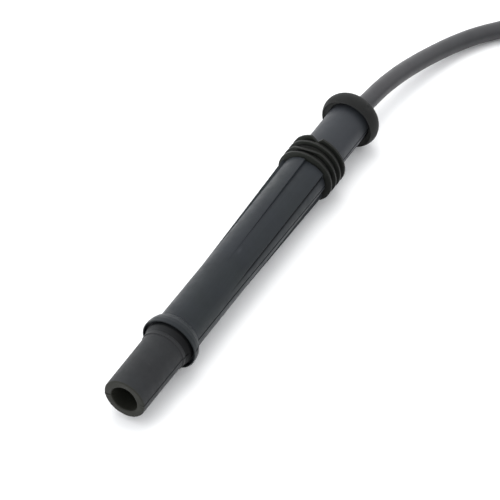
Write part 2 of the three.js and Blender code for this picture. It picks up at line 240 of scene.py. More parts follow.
def lathe(name, profile, angles, matrix, move=None, paint=None, sharp=40.0):
    """Body of revolution round the local Y axis with uneven angular spacing.
    move(r, a, nr, na, th) -> (r, a), all arrays; paint(r, a, th) -> dict of extra attributes."""
    prof = np.array(profile, float)
    m, k = len(prof), len(angles)
    th = np.radians(np.asarray(angles, float))
    r = np.repeat(prof[:, 0][:, None], k, 1)
    a = np.repeat(prof[:, 1][:, None], k, 1)
    edge = np.repeat(prof[:, 2][:, None], k, 1)
    t = np.roll(prof[:, :2], -1, 0) - np.roll(prof[:, :2], 1, 0)
    t /= np.maximum(np.linalg.norm(t, axis=1), 1e-9)[:, None]
    nr = np.repeat(t[:, 1][:, None], k, 1)  # outward normal: right of the walk
    na = np.repeat(-t[:, 0][:, None], k, 1)
    tt = np.repeat(th[None, :], m, 0)
    r0, a0 = r.copy(), a.copy()
    if move:
        r, a = move(r, a, nr, na, tt)
    x, z = r * np.cos(tt), r * np.sin(tt)
    verts = np.stack([x, a, z], -1).reshape(-1, 3)
    faces, uvs = [], []
    us = np.r_[0, np.cumsum(np.hypot(*np.diff(np.vstack([prof[:, :2], prof[:1, :2]]), axis=0).T))] / 10.0
    vs = np.r_[np.degrees(th), 360.0 + np.degrees(th[0])] / 360.0 * 5.0
    for i in range(m):
        i1 = (i + 1) % m
        for j in range(k):
            j1 = (j + 1) % k
            faces.append((i * k + j, i * k + j1, i1 * k + j1, i1 * k + j))
            uvs += [(us[i], vs[j]), (us[i], vs[j + 1]), (us[i + 1], vs[j + 1]), (us[i + 1], vs[j])]
    attrs = {"edge": edge.ravel()}
    if paint:
        for key, values in paint(r0, a0, tt).items():
            attrs[key] = np.broadcast_to(values, r0.shape).ravel()
    o = finish_mesh(name, verts, faces, matrix, attrs, None, sharp)
    return o


def solid_lathe(name, profile, angles, matrix, sharp=40.0):
    """As lathe, for an open profile whose two ends lie on the axis (closed by the axis itself)."""
    prof = np.array(profile, float)
    th = np.radians(np.asarray(angles, float))
    k = len(th)
    verts, faces, edge = [], [], []
    first = (0.0, prof[0][1], 0.0)
    last = (0.0, prof[-1][1], 0.0)
    inner = [p for p in prof if p[0] > 1e-6]
    for p in inner:
        for t in th:
            verts.append((p[0] * math.cos(t), p[1], p[0] * math.sin(t)))
            edge.append(p[2])
    m = len(inner)
    for i in range(m - 1):
        for j in range(k):
            j1 = (j + 1) % k
            faces.append((i * k + j, i * k + j1, (i + 1) * k + j1, (i + 1) * k + j))
    verts += [first, last]
    edge += [0.0, 0.0]
    for j in range(k):
        j1 = (j + 1) % k
        faces.append((m * k, j1, j))
        faces.append((m * k + 1, (m - 1) * k + j, (m - 1) * k + j1))
    return finish_mesh(name, verts, faces, matrix, {"edge": edge}, None, sharp)


def angle_set(base, special=()):
    """Even angles with extra ones packed round the special places: (centre deg, offsets deg)."""
    out = set(np.round(np.arange(0, 360, 360.0 / base), 4))
    for centre, offs in special:
        lo, hi = centre + min(offs), centre + max(offs)
        out = {x for x in out if not (lo < (x - centre + 180) % 360 - 180 + centre < hi)}
        out |= {round((centre + o) % 360, 4) for o in offs}
    return sorted(out)


def turn(th, centre_deg):
    """Signed angle in degrees from centre."""
    return (np.degrees(th) - centre_deg + 180.0) % 360.0 - 180.0


def ripple(a, th, seed, amp, la=30.0, modes=5):
    """Gentle unevenness of a moulding: a few long waves along and round it."""
    g = np.random.default_rng(seed)
    out = np.zeros_like(a)
    for _ in range(modes):
        w = g.uniform(0.5, 1.6) * 2 * math.pi / la
        q = g.integers(1, 6)
        out += np.sin(w * a + q * th + g.uniform(0, 6.28)) * g.uniform(0.4, 1.0)
    return amp * out / modes


PART_OFFS = [-4.0, -2.6, -1.9, -1.4, -1.0, -0.6, -0.25, 0.0, 0.25, 0.6, 1.0, 1.4, 1.9, 2.6, 4.0]


def seam(th, radius, wide=0.3, shift=0.0):
    """The mould's parting line on both sides: (groove 0..1, lip 0..1)."""
    groove = np.zeros_like(th)
    lip = np.zeros_like(th)
    for centre, side in ((0.0, -1.0), (180.0, 1.0)):
        s = np.radians(turn(th, centre + shift)) * radius * side  # towards the underside
        groove += np.exp(-((s / (0.5 * wide)) ** 2))
        lip += np.where(s > 0, np.exp(-(((s - 1.1 * wide) / (0.75 * wide)) ** 2)), 0.0)
    return groove, lip


# ---------------------------------------------------------------- materials
def material(name, color, rough, spec=0.5, metal=0.0, grain=0.0, grain_size=0.25, mottle=0.12,
             streak=0.0, edge_color=None, edge_amount=0.0, painted_shade_color=None, rough_var=0.08,
             micro=0.0, micro_size=0.08, dust=0.0, dust_color=(0.35, 0.34, 0.32), coat=0.0, coat_rough=0.3,
             tint=None, tint_amount=0.0, tone_color=None, stretch=(1.0, 1.0, 1.0), aniso=0.0):
    """Procedural surface: colour mottling, moulding streaks along the part, fine grain and wear on its edges, with a
    second colour from the tone attribute (painted light on most pieces) and painted shade from the groove attribute.
    """
    mat = bpy.data.materials.new(name)
    mat.use_nodes = True
    nt = mat.node_tree
    nt.nodes.clear()
    N, L = nt.nodes.new, nt.links.new
    out = N("ShaderNodeOutputMaterial")
    bsdf = N("ShaderNodeBsdfPrincipled")
    L(bsdf.outputs["BSDF"], out.inputs["Surface"])
    bsdf.inputs["Metallic"].default_value = metal
    bsdf.inputs["Specular IOR Level"].default_value = spec
    bsdf.inputs["Coat Weight"].default_value = coat
    bsdf.inputs["Coat Roughness"].default_value = coat_rough
    if aniso:
        bsdf.inputs["Anisotropic"].default_value = aniso
    tc = N("ShaderNodeTexCoord")
    mp = N("ShaderNodeMapping")
    mp.inputs["Scale"].default_value = stretch
    L(tc.outputs["Object"], mp.inputs["Vector"])

    def noise(size_mm, detail=3.0, rough_=0.55, vector=None, distortion=0.0):
        n = N("ShaderNodeTexNoise")
        n.inputs["Scale"].default_value = 1.0 / (size_mm * MM)
        n.inputs["Detail"].default_value = detail
        n.inputs["Roughness"].default_value = rough_
        n.inputs["Distortion"].default_value = distortion
        L(vector or mp.outputs["Vector"], n.inputs["Vector"])
        return n

    def math_node(op, a, b=None, clamp=False):
        n = N("ShaderNodeMath")
        n.operation = op
        n.use_clamp = clamp
        for i, v in enumerate((a, b)):
            if v is None:
                continue
            if isinstance(v, (int, float)):
                n.inputs[i].default_value = v
            else:
                L(v, n.inputs[i])
        return n.outputs[0]

    def mix(fac, a, b):
        n = N("ShaderNodeMix")
        n.data_type = "RGBA"
        n.inputs["Factor"].default_value = 0.5
        if isinstance(fac, (int, float)):
            n.inputs["Factor"].default_value = fac
        else:
            L(fac, n.inputs["Factor"])
        for key, v in (("A", a), ("B", b)):
            sock = [s for s in n.inputs if s.name == key and s.type == "RGBA"][0]
            if isinstance(v, tuple):
                sock.default_value = (*v, 1.0)
            else:
                L(v, sock)
        return [s for s in n.outputs if s.type == "RGBA"][0]

    def ramp(fac, lo, hi):
        n = N("ShaderNodeMapRange")
        n.inputs["From Min"].default_value = lo
        n.inputs["From Max"].default_value = hi
        n.clamp = True
        L(fac, n.inputs["Value"])
        return n.outputs["Result"]

    c = np.array(color, float)
    broad = noise(9.0, 3.0)
    dark = tuple((c * (1 - mottle)).tolist())
    light = tuple((c * (1 + mottle)).tolist())
    col = mix(ramp(broad.outputs["Fac"], 0.3, 0.7), dark, light)
    if tint is not None:
        spots = noise(16.0, 2.0, 0.5)
        col = mix(math_node("MULTIPLY", ramp(spots.outputs["Fac"], 0.35, 0.7), tint_amount), col, tuple(tint))
    if streak:
        sm = N("ShaderNodeMapping")
        sm.inputs["Scale"].default_value = (1.0, 0.035, 1.0)
        L(tc.outputs["Object"], sm.inputs["Vector"])
        lines = noise(1.1, 4.0, 0.6, sm.outputs["Vector"])
        col = mix(math_node("MULTIPLY", ramp(lines.outputs["Fac"], 0.45, 0.8), streak), col,
                  tuple(np.minimum(c * 1.6 + 0.002, 1).tolist()))
    if dust:
        specks = noise(0.7, 2.0, 0.4)
        patch = noise(6.0, 2.0, 0.5)
        d = math_node("MULTIPLY", ramp(specks.outputs["Fac"], 0.66, 0.76), ramp(patch.outputs["Fac"], 0.4, 0.7))
        col = mix(math_node("MULTIPLY", d, dust), col, tuple(dust_color))
    if edge_amount:
        at = N("ShaderNodeAttribute")
        at.attribute_name = "edge"
        wear_and_painted_light = noise(1.6, 3.0, 0.6)
        e = math_node("MULTIPLY", at.outputs["Fac"], math_node("ADD", math_node("MULTIPLY", wear_and_painted_light.outputs["Fac"], 0.9), 0.35))
        e = math_node("MULTIPLY", e, edge_amount, clamp=True)
        col = mix(e, col, tuple(edge_color))
    # a second colour where the piece's tone attribute is set; most pieces use it for painted light
    if tone_color is not None:
        at2 = N("ShaderNodeAttribute")
        at2.attribute_name = "tone"
        col = mix(math_node("MULTIPLY", at2.outputs["Fac"], 1.0, clamp=True), col, tuple(tone_color))
    # painted shade: darker colour and weaker reflection where the groove attribute is set
    if painted_shade_color is not None:
        ag = N("ShaderNodeAttribute")
        ag.attribute_name = "groove"
        col = mix(math_node("MULTIPLY", ag.outputs["Fac"], 0.85, clamp=True), col, tuple(painted_shade_color))
        gloss = math_node("SUBTRACT", 1.0, math_node("MULTIPLY", ag.outputs["Fac"], 0.85, clamp=True))
        L(math_node("MULTIPLY", gloss, spec), bsdf.inputs["Specular IOR Level"])
    L(col, bsdf.inputs["Base Color"])

    rn = noise(3.2, 4.0, 0.6)
    rv = N("ShaderNodeMapRange")
    rv.inputs["From Min"].default_value = 0.3
    rv.inputs["From Max"].default_value = 0.7
    rv.inputs["To Min"].default_value = max(0.03, rough - rough_var)
    rv.inputs["To Max"].default_value = min(1.0, rough + rough_var)
    rv.clamp = True
    L(rn.outputs["Fac"], rv.inputs["Value"])
    L(rv.outputs["Result"], bsdf.inputs["Roughness"])

    normal = None
    if grain:
        g = noise(grain_size, 3.0, 0.55)
        b = N("ShaderNodeBump")
        b.inputs["Strength"].default_value = 1.0
        b.inputs["Distance"].default_value = grain * MM
        L(g.outputs["Fac"], b.inputs["Height"])
        normal = b.outputs["Normal"]
    if micro:
        g = noise(micro_size, 2.0, 0.5)
        b = N("ShaderNodeBump")
        b.inputs["Strength"].default_value = 1.0
        b.inputs["Distance"].default_value = micro * MM
        L(g.outputs["Fac"], b.inputs["Height"])
        if normal is not None:
            L(normal, b.inputs["Normal"])
        normal = b.outputs["Normal"]
    if normal is not None:
        L(normal, bsdf.inputs["Normal"])
    return mat


MAT = {
    "tip": material("tip rubber", (0.0139, 0.0153, 0.0168), 0.55, spec=0.20, grain=0.012, grain_size=0.5, micro=0.003,
                    edge_color=(0.0369, 0.0369, 0.0355), edge_amount=0.5, painted_shade_color=(0.0028, 0.0028, 0.0028),
                    dust=0.02, tint=(0.0148, 0.0151, 0.0168), tint_amount=0.6, tone_color=(0.0159, 0.0165, 0.0131)),
    "tube": material("tube plastic", (0.0119, 0.0145, 0.0182), 0.45, spec=0.18, grain=0.010, grain_size=1.2, micro=0.002,
                     streak=0.2, edge_color=(0.0312, 0.0327, 0.0341), edge_amount=0.4, painted_shade_color=(0.0028, 0.0028, 0.0031),
                     dust=0.02, tint=(0.0131, 0.0173, 0.0173), tint_amount=0.5, tone_color=(0.0405, 0.0430, 0.0497)),
    "seal": material("seal rubber", (0.0086, 0.0093, 0.0088), 0.5, spec=0.17, grain=0.012, grain_size=0.6, micro=0.003,
                     edge_color=(0.036, 0.036, 0.033), edge_amount=0.26, dust=0.03, tint=(0.0106, 0.0110, 0.0092), tint_amount=0.6,
                     tone_color=(0.0234, 0.0258, 0.0224)),
    "cap": material("cap rubber", (0.0102, 0.0107, 0.0106), 0.62, spec=0.15, grain=0.015, grain_size=0.5, micro=0.004,
                    edge_color=(0.0312, 0.0312, 0.0298), edge_amount=0.3, dust=0.03, tint=(0.0120, 0.0120, 0.0111), tint_amount=0.5, tone_color=(0.085, 0.088, 0.086),
                    painted_shade_color=(0.0050, 0.0054, 0.0054)),
    "jacket": material("cable jacket", (0.0348, 0.0352, 0.0381), 0.42, spec=0.34, grain=0.012, grain_size=0.9, micro=0.002,
                       mottle=0.10, dust=0.04, tint=(0.0381, 0.0364, 0.0392), tint_amount=0.5),
    "far": material("far boot rubber", (0.0163, 0.0168, 0.0168), 0.58, spec=0.18, grain=0.013, grain_size=0.5, micro=0.004,
                    edge_color=(0.0369, 0.0369, 0.0355), edge_amount=0.4, painted_shade_color=(0.0028, 0.0028, 0.0028), dust=0.05),
    "tie": material("strap rubber", (0.0227, 0.0227, 0.0241), 0.6, spec=0.35, grain=0.02, grain_size=0.35, micro=0.004,
                    edge_color=(0.0710, 0.0710, 0.0710), edge_amount=0.5, dust=0.2),
    "brass": material("terminal brass", (0.62, 0.47, 0.22), 0.28, metal=1.0, grain=0.004, grain_size=0.5, mottle=0.12,
                      streak=0.2, edge_color=(0.85, 0.72, 0.42), edge_amount=0.5, tint=(0.42, 0.30, 0.14), tint_amount=0.35),
    "steel": material("drawn steel", (0.52, 0.53, 0.54), 0.3, metal=1.0, grain=0.003, grain_size=0.3, mottle=0.1,
                      streak=0.35, tint=(0.40, 0.39, 0.37), tint_amount=0.3),
    "ceramic": material("resistor ceramic", (0.68, 0.64, 0.55), 0.65, spec=0.4, grain=0.01, grain_size=0.4, mottle=0.08,
                        streak=0.2, dust=0.3, dust_color=(0.3, 0.26, 0.2)),
}


def give(o, key):
    o.data.materials.clear()
    o.data.materials.append(MAT[key])
    return o


# carried-over solids keep their shape and get their finish
for node, key in (
    ("terminal_spring_ring", "steel"), ("contact_spring", "steel"), ("connecting_rod", "steel"),
    ("resistor_cap_front", "brass"), ("resistor_cap_rear", "brass"), ("cable_terminal", "brass"),
    ("suppression_resistor", "ceramic"),
):
    for i in range(max(1, len(nodes[node].material_slots))):
        if len(nodes[node].material_slots) == 0:
            nodes[node].data.materials.append(MAT[key])
        else:
            nodes[node].material_slots[i].link = "OBJECT"
            nodes[node].material_slots[i].material = MAT[key]

# ---------------------------------------------------------------- cable
path, route_length = catmull(ROUTE, 1.4)


def tube(name, pts, radius, sides, wobble=0.0):
    n = len(pts)
    t = np.gradient(pts, axis=0)
    t /= np.linalg.norm(t, axis=1)[:, None]
    up = np.array([0.0, 0.0, 1.0])
    u = np.cross(t[0], up)
    u /= np.linalg.norm(u)
    verts, us = [], []
    s = np.r_[0, np.cumsum(np.linalg.norm(np.diff(pts, axis=0), axis=1))]
    g = np.random.default_rng(3)
    ph = g.uniform(0, 6.28, 6)
    for i in range(n):
        u = u - t[i] * (u @ t[i])
        u /= np.linalg.norm(u)
        w = np.cross(t[i], u)
        for j in range(sides):
            a = 2 * math.pi * j / sides
            rr = radius + wobble * (math.sin(s[i] * 0.21 + ph[0] + 2 * a) + 0.6 * math.sin(s[i] * 0.47 + ph[1] + 3 * a)) * 0.5
            verts.append(pts[i] + rr * (math.cos(a) * u + math.sin(a) * w))
    faces, uvs = [], []
    for i in range(n - 1):
        for j in range(sides):
            j1 = (j + 1) % sides
            faces.append((i * sides + j, i * sides + j1, (i + 1) * sides + j1, (i + 1) * sides + j))
            uvs += [(s[i] / 10, j / sides), (s[i] / 10, (j + 1) / sides), (s[i + 1] / 10, (j + 1) / sides), (s[i + 1] / 10, j / sides)]
    for base, flip in ((0, True), ((n - 1) * sides, False)):
        ring = [base + j for j in range(sides)]
        faces.append(tuple(reversed(ring)) if flip else tuple(ring))
        uvs += [(0.0, 0.0)] * sides
    return finish_mesh(name, verts, faces, Matrix.Scale(MM, 4), {"edge": np.zeros(len(verts))}, uvs, 50.0)


cable = give(tube("cable", path, CABLE_R, 40, 0.03), "jacket")
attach(cable, "root")
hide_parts("ignition_cable", "cable_coil", "cable_tail")

# ---------------------------------------------------------------- rubber tip
TIP_TURN = 6.0  # the tip is pushed on a little turned
TIP_ANGLES = angle_set(144, [(TIP_TURN, PART_OFFS), (180.0 + TIP_TURN, PART_OFFS)])
tip_profile = rounded([
    (TIP_BORE_R, 0.0, 0.4), (TIP_R_FRONT, 0.0, TIP_EDGE), (TIP_R_REAR, RING_A0, 0.25), (RING_R, RING_A0 + 0.2, 0.15),
    (RING_R + 0.02, RING_A1, 0.2), (RING_R - 0.22, RING_A1 + 0.3, 0.2), (FLARE_R, FLARE_A, 0.8), (FLARE_R, FLARE_END, 0.1),
    (SPIGOT_R, FLARE_END, 0.2), (SPIGOT_R, SPIGOT_END, 0.4), (TIP_BORE_R, SPIGOT_END, 0.3),
])


def tip_move(r, a, nr, na, th):
    g, lip = seam(th, 8.3, 0.32, TIP_TURN)
    outer = (r > 7.2) & (a < 29.6)
    face = (r > TIP_BORE_R + 0.3) & (a < 0.4) & (np.cos(th) < 0)  # its trace shows on one side of the end face only
    d = np.where(outer | face, -0.16 * g + 0.15 * lip, 0.0)
    d = d + np.where((r > 7.6) & (a > 1.0) & (a < 25.0), ripple(a, th, 11, 0.06, 22.0), 0.0)
    # the bore is a little uneven at its mouth
    mouth = np.exp(-((a / 0.8) ** 2)) * (r < 6.0)
    d = d + mouth * 0.12 * np.sin(3 * th + 0.7)
    return r + nr * d, a + na * d


def tip_paint(r, a, th):
    g, lip = seam(th, 8.3, 0.32, TIP_TURN)
    # painted shade along the parting line, faint on one side of the end face
    on = ((r > TIP_BORE_R + 0.1) & (a < 29.0)).astype(float) * np.where((a < 0.5) & (np.cos(th) > 0), 0.15, 1.0)
    # painted shade where the skirt runs into the collar, darkest on the right side
    painted_skirt_shade = np.clip((a - 27.35) / 0.7, 0, 1) * (r > 7.2) * np.clip(0.36 + 0.5 * np.cos(th - math.radians(10.0)), 0.1, 0.9)
    # the end face and the bore take a lighter olive colour; inside the bore it is painted light
    return {"groove": np.clip(0.45 * g * on + painted_skirt_shade, 0, 1), "tone": np.where(((a < 0.35) & (r > 5.0)) | ((r < 5.75) & (a < 30)), 1.0, 0.0)}


tip = give(lathe("plug_end_tip", tip_profile, TIP_ANGLES, BOOT, tip_move, tip_paint), "tip")
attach(tip, "root")
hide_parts("plug_boot_tip")

# ---------------------------------------------------------------- extension tube
def span(lo, hi, step):
    return list(np.arange(lo, hi, step))


# the steps wander a few degrees along the barrel, so the mesh is fine over each one's whole sweep
STEP_SPANS = [(20.5, 35.0), (78.5, 88.0), (146.0, 151.5)]
SEAM_OFFS = span(-4.0, 11.0, 0.5)
TUBE_SPECIAL = [(0.0, SEAM_OFFS), (180.0, SEAM_OFFS)]
for lo, hi in STEP_SPANS:
    mid = 0.5 * (lo + hi)
    offs = [x - mid for x in span(lo - 1.0, hi + 1.0, 0.42)]
    TUBE_SPECIAL += [(mid, offs), (360.0 - mid, offs)]
TUBE_ANGLES = angle_set(150, TUBE_SPECIAL)
tube_profile = rounded([
    (SOCKET_R, COLLAR_FLOOR, 0.1), (COLLAR_LIP_R, COLLAR_FLOOR, 0.15), (COLLAR_LIP_R, COLLAR_A, 0.22), (COLLAR_R, COLLAR_A, 0.32),
    (COLLAR_R, 32.2, 1.0), (10.62, 33.5, 1.0), (10.0, 34.7, 1.0),
    (9.15, 35.7, 0.8), (BODY_R_FRONT + 0.2, 36.1, 0.2), (BODY_R_FRONT, 36.35, 0.12), (BODY_R, 62.0, 20.0),
    (BODY_R, 127.6, 0.05), (BODY_R, 128.6, 0.05), (BODY_R, 128.95, 0.05), (BODY_R, 129.15, 0.05), (BODY_R, 129.3, 0.05),
    (BODY_R, SEAT_A0, 0.12), (SEAT_R, SEAT_A0, 0.1),
    (SEAT_R, SEAT_A1, 0.06), (NECK_R, SEAT_A1, 0.06), (NECK_R, TUBE_END, 0.4), (REAR_BORE_R, TUBE_END, 0.3),
    (REAR_BORE_R, REAR_BORE_A, 0.2), (TUBE_BORE_R, REAR_BORE_A, 0.2), (TUBE_BORE_R, SOCKET_END, 0.3), (SOCKET_R, SOCKET_END, 0.3),
], longest=2.5)


def step_feet(a, th):
    """Sharp inner corners at the foot of the right and the upper step, 0..1 each."""
    d = np.degrees(th) % 360.0
    d = np.where(d > 180.0, 360.0 - d, d)
    t = np.clip((a - LAND_START) / (LAND_END - LAND_START), 0, 1)
    c0 = LAND_STEPS[0][0] + (LAND_STEPS[0][1] - LAND_STEPS[0][0]) * t - 1.5 - 5.0 * t
    c1 = LAND_STEPS[1][0] + (LAND_STEPS[1][1] - LAND_STEPS[1][0]) * t - 1.0
    on = (a < LAND_END).astype(float)
    right = np.exp(-(((d - c0) / 2.6) ** 2)) * np.clip((a - 60.0) / 14.0, 0, 1) * on
    upper = np.exp(-(((d - c1) / 1.0) ** 2)) * np.clip((a - 66.0) / 30.0, 0, 1) * on
    return right, upper


def land_shape(a, th):
    """Height of the lands: each rises sharply at its step and runs out smoothly before the next one."""
    d = np.degrees(th) % 360.0
    d = np.where(d > 180.0, 360.0 - d, d)  # the lower half mirrors the upper one
    t = np.clip((a - LAND_START) / (LAND_END - LAND_START), 0, 1)
    h = LAND_RISE * np.clip(a - LAND_START, 0, None)
    s = [s0 + (s1 - s0) * t for s0, s1 in LAND_STEPS]
    soft = 1.1  # degrees over which a step rises

    def fall(x):
        x = np.clip(x, 0, 1)
        return 1.0 - x * x * (3 - 2 * x) * 0.35 - x * 0.65

    def rise(centre):
        x = np.clip((d - centre + soft / 2) / soft, 0, 1)
        return x * x * (3 - 2 * x)

    first = fall((d - s[0]) / (s[1] - s[0])) * rise(s[0])
    second = (0.33 + 0.67 * fall((d - s[1]) / (s[2] - s[1]))) * rise(s[1])
    third = (1.3 - 0.5 * np.clip((d - s[2]) / (180.0 - s[2]), 0, 1)) * rise(s[2])
    front = np.where(d < 8.0, 0.3 - 0.05 * d / 8.0, 0.25 * np.clip((s[0] - soft / 2 - d) / (s[0] - soft / 2 - 8.0), 0, 1))
    out = np.where(d < s[0], front, 0.0)
    out = np.maximum(out, np.where(d < s[1] + soft, first, 0.0))
    out = np.maximum(out, np.where(d < s[2] + soft, second, 0.0))
    out = np.maximum(out, third)
    end = np.clip((LAND_END + 0.2 - a) / 0.35, 0, 1) ** 0.5
    return (out * h - 0.22 * step_feet(a, th)[0]) * end


def seam_turn(a):
    return 8.0 - 9.0 * np.clip((a - 38.0) / 87.0, 0, 1)


def tube_move(r, a, nr, na, th):
    outer = r > 7.7
    body = outer & (a > 36.2) & (a < 129.4)
    g, lip = seam(th, 8.4, 0.32, seam_turn(a))
    d = np.where(outer & (a > 30.9) & (nr > 0.2) & ((a < 129.4) | (a > 141.2)), -0.17 * g + 0.09 * lip, 0.0)
    d = d + np.where(body, ripple(a, th, 21, 0.07, 45.0), 0.0)
    r2 = r + nr * d + np.where(body, land_shape(a, th), 0.0)
    # the collar's rear slope reaches a little further on the far side
    lean = 0.5 + 0.5 * np.cos(th - math.radians(153.0))
    slope = np.exp(-(((a - 35.3) / 1.5) ** 2)) * (r > BODY_R_FRONT + 0.02)
    a2 = a + na * d + np.where(outer, (0.9 * lean - 0.1) * slope, 0.0)
    return r2, a2


def tube_paint(r, a, th):
    g, lip = seam(th, 8.4, 0.32, seam_turn(a))
    on = ((r > 7.7) & (a > 30.9)).astype(float)
    # painted shade along the parting line and at the foot of the right step; the collar is made a little darker and
    # less glossy
    right = step_feet(a, th)[0]
    painted_step_shade = np.where(r > 7.7, 0.9 * right + 0.12 * (a < 36.2), 0.0)
    # painted light: the lands grow lighter towards the rear; the neck is made lighter all round
    wear_and_painted_light = 0.12 * np.clip((a - 60.0) / 69.0, 0, 1) + 0.4 * (a > SEAT_A1 - 0.3)
    # a small pale scuff on the upper side
    wear_and_painted_light = wear_and_painted_light + 0.5 * np.exp(-((turn(th, 73.0) / 3.2) ** 2) - (((a - 77.0) / 0.9) ** 2))
    return {"groove": np.clip(g * on + painted_step_shade, 0, 1), "tone": np.where(r > 7.7, wear_and_painted_light, 0.0)}


tube_o = give(lathe("stepped_extension_tube", tube_profile, TUBE_ANGLES, BOOT, tube_move, tube_paint), "tube")
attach(tube_o, "root")
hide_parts("extension_tube")

# ---------------------------------------------------------------- well seal
seal_pts = [(SEAL_BORE_R, SEAL_A0, 0.1)]
for i, fa in enumerate(FIN_A):
    seal_pts += [(FIN_R, fa - FIN_T / 2, 0.07), (FIN_R, fa + FIN_T / 2, 0.09)]
    if i < 3:
        seal_pts += [(SEAL_CORE_R, fa + FIN_T / 2 + 0.25, 0.3), (SEAL_CORE_R, FIN_A[i + 1] - FIN_T / 2 - 0.25, 0.3)]
seal_pts.append((SEAL_BORE_R, FIN_A[3] + FIN_T / 2, 0.1))
seal_profile = rounded(seal_pts, n=4, longest=0.5)
NOTCH_OFFS = [-14, -12.5, -12, -10, -8, -6, -4, -2.5, -1.2, 0.0, 1.2, 2.5, 4, 6, 8, 10, 12, 12.5, 14]
SEAL_ANGLES = angle_set(200, [(93.0, NOTCH_OFFS)])


def seal_move(r, a, nr, na, th):
    lift = np.clip((r - SEAL_CORE_R) / (FIN_R - SEAL_CORE_R), 0, 1)
    # slight waviness of the thin fins
    for i, fa in enumerate(FIN_A):
        near = np.abs(a - fa) < 0.9
        g = np.random.default_rng(40 + i)
        wave = sum(g.uniform(-1, 1) * np.sin(k * th + g.uniform(0, 6.28)) / k for k in (2, 3, 5, 7))
        a = np.where(near, a + 0.16 * wave * lift**1.5, a)
        r = np.where(near, r + 0.05 * np.sin(2 * th + i) * lift, r)
    # the second fin is pressed forwards on its upper side
    deg = np.degrees(th)
    view = (63.5 - deg + 180) % 360 - 180
    push = np.where((view > -63) & (view < -2), np.cos((view + 33) / 30.5 * math.pi / 2), 0.0)
    push = np.clip(push, 0, 1) ** 1.2
    second = np.abs(a - FIN_A[1]) < 0.95
    a = np.where(second, a - 1.3 * push * lift**1.3, a)
    # the rear fin is nicked
    tri = np.clip(1 - np.abs(turn(th, 93.0)) / 12.0, 0, 1)
    rear = a > FIN_A[3] - 0.75
    depth = 2.55 * tri
    r = np.where(rear, r - depth * np.clip((r - SEAL_BORE_R) / (FIN_R - SEAL_BORE_R), 0, 1), r)
    return r, a


def seal_paint(r, a, th):
    # painted light: the fins' front faces are lightened, most on the upper left, where light falls
    upper = np.clip(0.55 + 0.6 * np.cos(th - math.radians(130.0)), 0.0, 1.0)
    first = (a < SEAL_A0 + 0.08) & (r > SEAL_BORE_R)
    rest = np.zeros_like(r)
    for fa in FIN_A[1:]:  # the other fins' front faces
        rest = np.maximum(rest, (np.abs(a - fa + FIN_T / 2) < 0.14) * (r > SEAL_CORE_R + 0.3))
    return {"tone": np.where(first, upper, 0.9 * rest * upper)}


seal = give(lathe("four_fin_seal", seal_profile, SEAL_ANGLES, BOOT, seal_move, seal_paint), "seal")
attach(seal, "root")
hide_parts("well_seal")

# ---------------------------------------------------------------- rounded cap
cap_profile = []
for i in range(25):
    t = math.radians(-38 + 118 * i / 24)
    cap_profile.append((CAP_R - CAP_ROUND + CAP_ROUND * math.cos(t), CAP_MID + CAP_ROUND * math.sin(t), 0.0))
start = cap_profile[0]
tail_pts = rounded([
    (5.95, 171.6, 0.5), (5.35, 173.0, 0.35), (CABLE_HOLE_R, 173.0, 0.12), (CABLE_HOLE_R, CAP_FLOOR, 0.1),
    (CAP_BORE_R, CAP_FLOOR, 0.2), (CAP_BORE_R, CAP_MOUTH, 0.05), (9.3, 164.1, 1.5), (10.0, 163.4, 1.0),
    (start[0], start[1], 0.0), cap_profile[12],
], n=4, longest=1.4)
# keep only the stretch from the outlet's foot to the start of the round
cut = next(i for i, p in enumerate(tail_pts) if abs(p[0] - start[0]) < 1e-6 and abs(p[1] - start[1]) < 1e-6)
cap_profile += tail_pts[:cut]
CAP_ANGLES = angle_set(160, [(0.0, PART_OFFS), (180.0, PART_OFFS)])


def cap_move(r, a, nr, na, th):
    outer = (r > 10.2)
    g, lip = seam(th, 11.0, 0.3)
    d = np.where(outer, ripple(a, th, 31, 0.07, 12.0) - 0.05 * g, 0.0)
    # small dent on the rim
    dent = np.exp(-((turn(th, 52.0) / 3.0) ** 2) - (((a - CAP_MID - 0.5) / 1.0) ** 2))
    d = d - np.where(outer, 0.35 * dent, 0.0)
    return r + nr * d, a + na * d


def cap_paint(r, a, th):
    # painted light: the dish round the neck is lightened, less on the right side
    dish = np.clip((10.75 - r) / 1.3, 0, 1) * (a < 165.2) * (r > CAP_BORE_R - 0.1)
    side = 0.5 + 0.5 * np.cos(th - math.radians(15.0))
    return {"tone": dish * (1.0 - 0.6 * side)}


cap = give(lathe("rounded_end_cap", cap_profile, CAP_ANGLES, BOOT, cap_move, cap_paint), "cap")
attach(cap, "root")
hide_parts("cable_end_cap")

# ---------------------------------------------------------------- plug terminal: slotted socket
term_profile = rounded([
    (3.25, 31.0, 0.25), (4.6, 31.0, 0.3), (4.6, 33.1, 0.1), (4.0, 33.1, 0.1), (4.0, 34.3, 0.1), (4.6, 34.3, 0.1),
    (4.6, 44.3, 0.3), (6.6, 44.3, 0.2), (6.6, 46.0, 0.2), (2.6, 46.0, 0.3), (2.6, 50.0, 0.3), (0.4, 50.0, 0.0),
    (0.4, 43.8, 0.0), (3.25, 43.8, 0.3),
], n=3, longest=1.2)
terminal = lathe("plug_socket_terminal", term_profile, angle_set(64), BOOT)
give(terminal, "brass")
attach(terminal, "root")
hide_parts("plug_terminal")

# ---------------------------------------------------------------- far-end boot
far_profile = rounded([
    (5.3, 0.0, 0.45), (8.5, 0.0, 0.5), (8.5, 24.0, 1.2), (7.2, 26.0, 1.0), (7.2, 38.0, 1.2), (6.35, 40.0, 1.5),
    (5.0, 53.6, 0.4), (4.75, 54.0, 0.2), (3.8, 54.0, 0.1), (3.8, 38.0, 0.2), (4.75, 38.0, 0.2), (4.75, 26.0, 0.2), (5.3, 26.0, 0.2),
])


